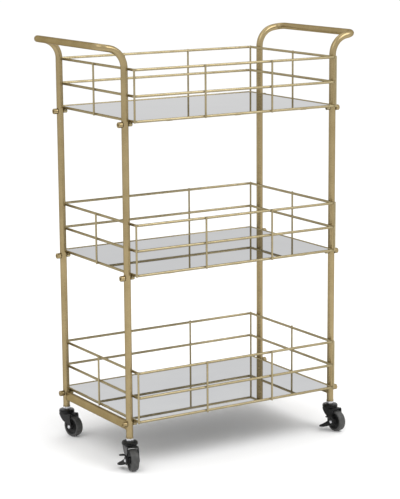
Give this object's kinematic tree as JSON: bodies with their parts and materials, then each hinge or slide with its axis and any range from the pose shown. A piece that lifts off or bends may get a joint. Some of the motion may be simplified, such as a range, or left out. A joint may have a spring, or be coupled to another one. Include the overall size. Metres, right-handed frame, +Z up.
{
  "type": "bar cart",
  "caption": "Wheeled bar cart with wire baskets floored by mirror panels between two bent tube end frames with push handles, on swivel casters.",
  "frame": {"origin": "on the floor under the middle of the four swivel axes", "axes": "+X along the cart to its right handle, +Y to its back, +Z up"},
  "size_m": [0.6998, 0.4064, 0.9649],
  "materials": {
    "champagne_gold": "satin champagne gold coat on steel tube and wire",
    "mirror": "silvered glass, polished, painted back",
    "black_steel": "black coat on pressed steel, semi-gloss",
    "black_nylon": "moulded black nylon",
    "black_rubber": "smooth black tread rubber",
    "zinc": "bright zinc plate",
    "bearing_steel": "polished bearing steel"
  },
  "bodies": {
    "cart": {"left_end_frame": "champagne_gold", "right_end_frame": "champagne_gold", "lower_floor_ring": "champagne_gold", "lower_cage_ring": "champagne_gold", "lower_top_ring": "champagne_gold", "lower_mirror_panel": "mirror", "lower_front_left_bolt": "champagne_gold", "lower_front_right_bolt": "champagne_gold", "lower_back_left_bolt": "champagne_gold", "lower_back_right_bolt": "champagne_gold", "middle_floor_ring": "champagne_gold", "middle_cage_ring": "champagne_gold", "middle_top_ring": "champagne_gold", "middle_mirror_panel": "mirror", "middle_front_left_bolt": "champagne_gold", "middle_front_right_bolt": "champagne_gold", "middle_back_left_bolt": "champagne_gold", "middle_back_right_bolt": "champagne_gold", "upper_floor_ring": "champagne_gold", "upper_cage_ring": "champagne_gold", "upper_top_ring": "champagne_gold", "upper_mirror_panel": "mirror", "upper_front_left_bolt": "champagne_gold", "upper_front_right_bolt": "champagne_gold", "upper_back_left_bolt": "champagne_gold", "upper_back_right_bolt": "champagne_gold", "front_left_post_socket": "champagne_gold", "front_left_caster_stem": "zinc", "front_left_race_cup": "black_steel", "front_right_post_socket": "champagne_gold", "front_right_caster_stem": "zinc", "front_right_race_cup": "black_steel", "back_left_post_socket": "champagne_gold", "back_left_caster_stem": "zinc", "back_left_race_cup": "black_steel", "back_right_post_socket": "champagne_gold", "back_right_caster_stem": "zinc", "back_right_race_cup": "black_steel"},
    "front_left_swivel": {"front_left_fork": "black_steel", "front_left_ball_cage": "bearing_steel", "front_left_axle": "zinc"},
    "front_left_wheel": {"front_left_wheel_hub": "black_nylon", "front_left_tyre": "black_rubber"},
    "front_left_brake": {"front_left_brake_lever": "black_nylon"},
    "front_right_swivel": {"front_right_fork": "black_steel", "front_right_ball_cage": "bearing_steel", "front_right_axle": "zinc"},
    "front_right_wheel": {"front_right_wheel_hub": "black_nylon", "front_right_tyre": "black_rubber"},
    "front_right_brake": {"front_right_brake_lever": "black_nylon"},
    "back_left_swivel": {"back_left_fork": "black_steel", "back_left_ball_cage": "bearing_steel", "back_left_axle": "zinc"},
    "back_left_wheel": {"back_left_wheel_hub": "black_nylon", "back_left_tyre": "black_rubber"},
    "back_right_swivel": {"back_right_fork": "black_steel", "back_right_ball_cage": "bearing_steel", "back_right_axle": "zinc"},
    "back_right_wheel": {"back_right_wheel_hub": "black_nylon", "back_right_tyre": "black_rubber"}
  },
  "joints": [
    {"name": "front_left_swivel_turn", "type": "hinge", "parent": "cart", "child": "front_left_swivel", "pos_m": [-0.2795, -0.1545, 0.0596], "axis": [0, 0, 1], "continuous": true},
    {"name": "front_left_wheel_spin", "type": "hinge", "parent": "front_left_swivel", "child": "front_left_wheel", "pos_m": [-0.28531, -0.17779, 0.025], "axis": [0.9703, -0.2419, 0], "continuous": true},
    {"name": "front_left_brake_press", "type": "hinge", "parent": "front_left_swivel", "child": "front_left_brake", "pos_m": [-0.28531, -0.17779, 0.025], "axis": [-0.9703, 0.2419, 0], "range_deg": [0, 10]},
    {"name": "front_right_swivel_turn", "type": "hinge", "parent": "cart", "child": "front_right_swivel", "pos_m": [0.2795, -0.1545, 0.0596], "axis": [0, 0, 1], "continuous": true},
    {"name": "front_right_wheel_spin", "type": "hinge", "parent": "front_right_swivel", "child": "front_right_wheel", "pos_m": [0.28117, -0.17844, 0.025], "axis": [0.9976, 0.0698, 0], "continuous": true},
    {"name": "front_right_brake_press", "type": "hinge", "parent": "front_right_swivel", "child": "front_right_brake", "pos_m": [0.28117, -0.17844, 0.025], "axis": [-0.9976, -0.0698, 0], "range_deg": [0, 10]},
    {"name": "back_left_swivel_turn", "type": "hinge", "parent": "cart", "child": "back_left_swivel", "pos_m": [-0.2795, 0.1545, 0.0596], "axis": [0, 0, 1], "continuous": true},
    {"name": "back_left_wheel_spin", "type": "hinge", "parent": "back_left_swivel", "child": "back_left_wheel", "pos_m": [-0.2741, 0.13112, 0.025], "axis": [0.9744, 0.225, 0], "continuous": true},
    {"name": "back_right_swivel_turn", "type": "hinge", "parent": "cart", "child": "back_right_swivel", "pos_m": [0.2795, 0.1545, 0.0596], "axis": [0, 0, 1], "continuous": true},
    {"name": "back_right_wheel_spin", "type": "hinge", "parent": "back_right_swivel", "child": "back_right_wheel", "pos_m": [0.28571, 0.17768, 0.025], "axis": [-0.9659, 0.2588, 0], "continuous": true}
  ]
}
